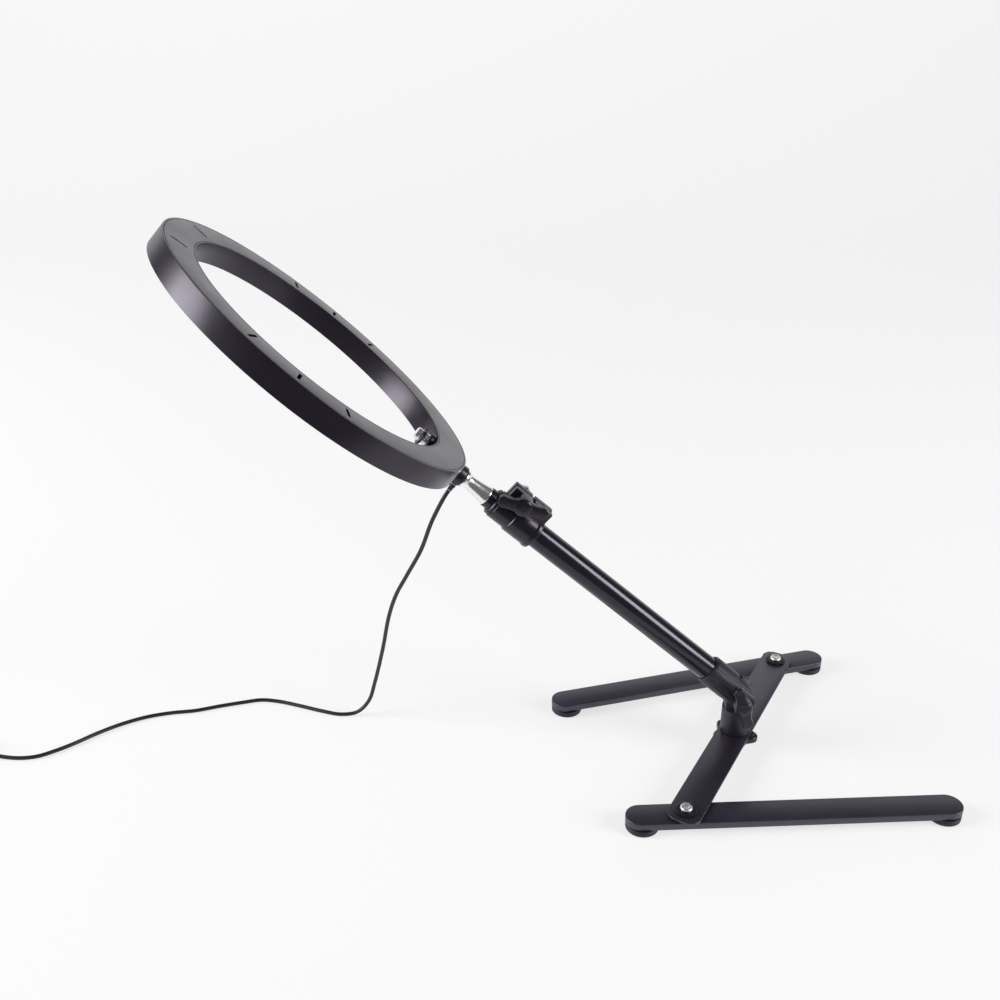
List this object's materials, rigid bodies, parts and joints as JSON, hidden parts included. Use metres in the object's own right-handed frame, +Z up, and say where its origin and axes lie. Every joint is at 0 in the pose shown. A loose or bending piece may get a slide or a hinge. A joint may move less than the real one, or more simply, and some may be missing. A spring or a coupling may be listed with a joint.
{
  "type": "ring light on folding tabletop stand",
  "caption": "LED ring light on a tilting telescopic mast, with a folding two-leg tabletop base, clamp knobs and a USB lead with an in-line controller.",
  "frame": {"origin": "on the table, under the centre of the stand's and ring's overall box, measured without the lead and what is on it", "axes": "+Z up; +X to the stand's right seen from its front, away from the lean of the mast; +Y to the back. The front, where the clamp knobs are, faces -Y."},
  "size_m": [0.864, 0.2597, 0.4235],
  "materials": {
    "satin_metal": "satin dark grey paint with a warm violet cast",
    "gloss_black": "gloss black",
    "black_plastic": "fine satin moulding",
    "head_plastic": "fine satin moulding",
    "grey_plastic": "satin",
    "nylon": "matte",
    "rubber": "matte",
    "steel": "zinc plated",
    "chrome": "polished",
    "board": "white solder mask",
    "diffuser": "opal white",
    "lead": "satin jacket"
  },
  "bodies": {
    "post": {"post": "black_plastic", "hinge_nut": "steel", "cord_lead": "lead", "controller_base": "black_plastic", "controller_cover": "black_plastic", "cord_tail_in": "lead", "cord_coil": "lead", "cord_tie": "nylon", "cord_tail_out": "lead", "usb_plug_body": "black_plastic", "usb_plug_shell": "steel"},
    "base": {"crossbar": "satin_metal", "pivot_bolt_front": "chrome", "pivot_bolt_rear": "chrome", "pivot_washer_front": "nylon", "pivot_washer_rear": "nylon", "pivot_spacer_front": "nylon", "pivot_spacer_rear": "nylon", "pivot_nut_front": "chrome", "pivot_nut_rear": "chrome"},
    "leg_front": {"leg_front": "satin_metal", "foot_front_long": "rubber", "foot_front_short": "rubber"},
    "leg_rear": {"leg_rear": "satin_metal", "foot_rear_long": "rubber", "foot_rear_short": "rubber"},
    "base_knob": {"base_knob": "black_plastic", "base_stud": "steel", "base_washer": "steel"},
    "mast": {"tube_socket": "black_plastic", "outer_tube": "gloss_black", "lock_collar": "black_plastic", "guide_bush": "nylon", "lock_nut": "steel"},
    "hinge_knob": {"hinge_knob": "black_plastic", "hinge_stud": "steel"},
    "lock_knob": {"lock_knob": "black_plastic", "lock_stud": "steel"},
    "slider": {"inner_tube": "gloss_black", "inner_tube_foot": "nylon", "spigot": "chrome", "mount_collar": "black_plastic", "cord_gland": "rubber"},
    "head": {"back_cover": "head_plastic", "ring_housing": "head_plastic", "led_board": "board", "diffuser": "diffuser", "accessory_boss": "black_plastic", "accessory_stud": "chrome"},
    "accessory_nut": {"accessory_nut": "black_plastic"},
    "button_dim": {"button_dim": "grey_plastic"},
    "button_power": {"button_power": "grey_plastic"},
    "button_bright": {"button_bright": "grey_plastic"}
  },
  "joints": [
    {"name": "pan", "type": "hinge", "parent": "post", "child": "base", "pos_m": [0.1344, -0.0033, 0.0143], "axis": [0, 0, 1], "range_deg": [-170, 170]},
    {"name": "leg_front_swing", "type": "hinge", "parent": "base", "child": "leg_front", "pos_m": [0.08082, -0.10137, 0.012], "axis": [0, 0, 1], "range_deg": [-61.7, 41.3]},
    {"name": "leg_rear_swing", "type": "hinge", "parent": "base", "child": "leg_rear", "pos_m": [0.18798, 0.09477, 0.012], "axis": [0, 0, 1], "range_deg": [-74.6, 28.3]},
    {"name": "base_knob_turn", "type": "hinge", "parent": "base", "child": "base_knob", "pos_m": [0.1344, -0.0033, 0.007], "axis": [0, 0, -1], "range_deg": [0, 360]},
    {"name": "tilt", "type": "hinge", "parent": "post", "child": "mast", "pos_m": [0.1344, -0.0033, 0.049], "axis": [0.0082, 1, 0], "range_deg": [-38, 85], "deforming": ["cord_lead"]},
    {"name": "hinge_knob_turn", "type": "hinge", "parent": "post", "child": "hinge_knob", "pos_m": [0.13425, -0.0213, 0.049], "axis": [-0.0082, -1, 0], "range_deg": [0, 360]},
    {"name": "lock_knob_turn", "type": "hinge", "parent": "mast", "child": "lock_knob", "pos_m": [-0.03943, -0.01487, 0.22115], "axis": [-0.0082, -1, 0], "range_deg": [0, 360]},
    {"name": "telescope", "type": "slide", "parent": "mast", "child": "slider", "axis": [-0.757, 0.0062, 0.6534], "range_m": [0, 0.14]},
    {"name": "head_swivel", "type": "hinge", "parent": "slider", "child": "head", "pos_m": [-0.18822, -0.00065, 0.32749], "axis": [-0.757, 0.0062, 0.6534], "range_deg": [-90, 90]},
    {"name": "accessory_nut_turn", "type": "hinge", "parent": "head", "child": "accessory_nut", "pos_m": [-0.11193, -0.00053, 0.26864], "axis": [-0.7541, 0.0068, 0.6567], "range_deg": [0, 360]},
    {"name": "button_dim_press", "type": "slide", "parent": "post", "child": "button_dim", "axis": [0, 0, -1], "range_m": [0, 0.0008], "stiffness_N_per_m": 600, "springref_m": -0.0003},
    {"name": "button_power_press", "type": "slide", "parent": "post", "child": "button_power", "axis": [0, 0, -1], "range_m": [0, 0.0008], "stiffness_N_per_m": 600, "springref_m": -0.0003},
    {"name": "button_bright_press", "type": "slide", "parent": "post", "child": "button_bright", "axis": [0, 0, -1], "range_m": [0, 0.0008], "stiffness_N_per_m": 600, "springref_m": -0.0003}
  ]
}
